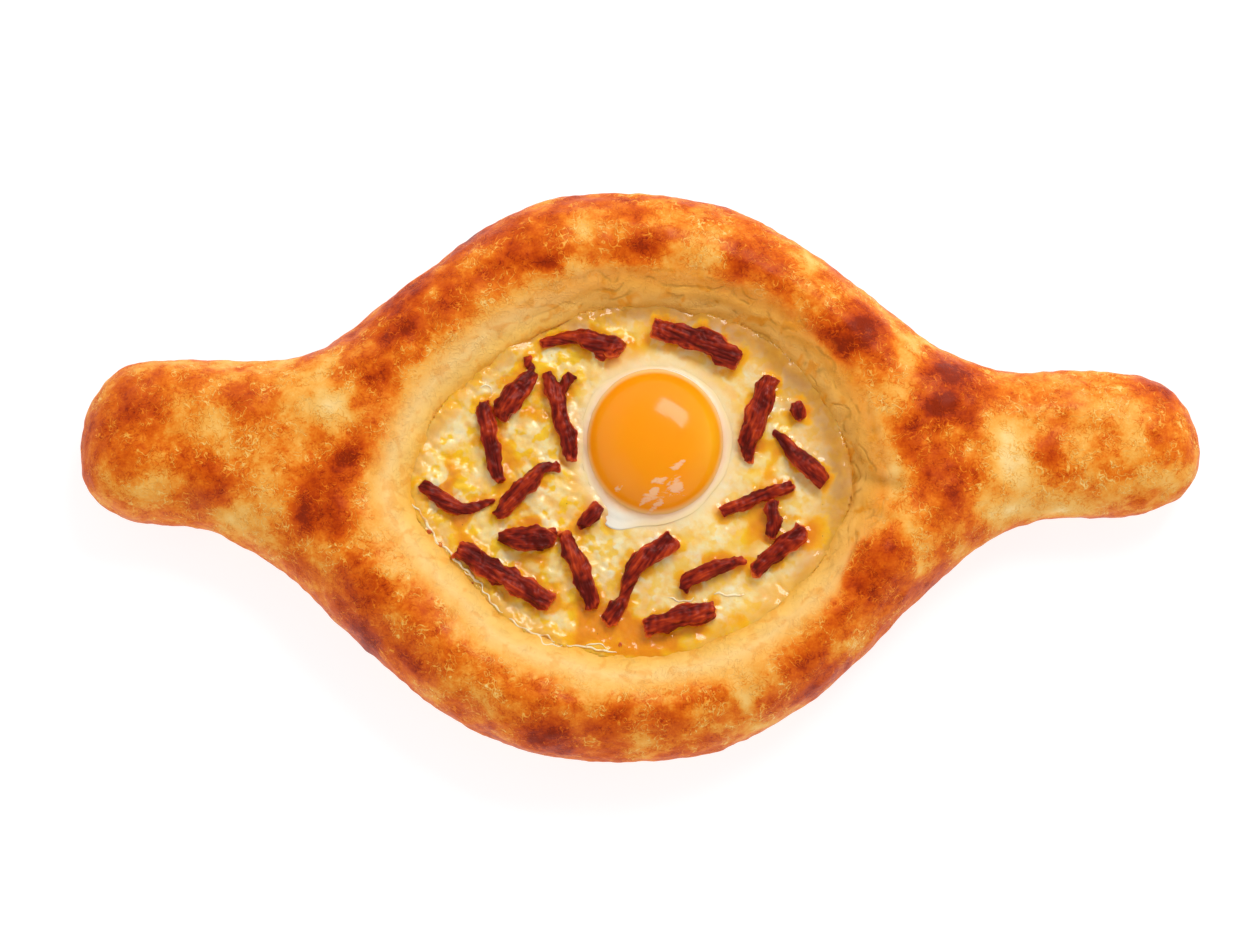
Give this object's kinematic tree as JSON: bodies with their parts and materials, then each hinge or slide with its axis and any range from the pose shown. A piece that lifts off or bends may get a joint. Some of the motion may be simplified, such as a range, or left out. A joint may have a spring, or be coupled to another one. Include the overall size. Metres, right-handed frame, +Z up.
{
  "type": "khachapuri",
  "caption": "Boat-shaped cheese bread: an open oval loaf with two drawn-out handles, a molten cheese filling, a soft egg yolk and strips of cured beef.",
  "frame": {"origin": "middle of the footprint, on the plane the loaf rests on", "axes": "+X along the loaf towards its narrower handle, +Y across it away from the viewer, +Z up"},
  "size_m": [0.302, 0.1552, 0.0315],
  "materials": {
    "crust": "baked golden crust with a soft egg-wash sheen",
    "cheese": "oily molten cheese",
    "egg_white": "just set, wet",
    "yolk": "runny yolk under a wet skin",
    "beef": "moist cured meat"
  },
  "bodies": {
    "root": {"bread": "crust", "cheese_filling": "cheese", "egg_white": "egg_white", "egg_yolk": "yolk", "beef_01": "beef", "beef_02": "beef", "beef_03": "beef", "beef_04": "beef", "beef_05": "beef", "beef_06": "beef", "beef_07": "beef", "beef_08": "beef", "beef_09": "beef", "beef_10": "beef", "beef_11": "beef", "beef_12": "beef", "beef_13": "beef", "beef_14": "beef", "beef_15": "beef", "beef_16": "beef", "beef_17": "beef", "beef_18": "beef", "beef_19": "beef", "beef_20": "beef"}
  },
  "joints": []
}
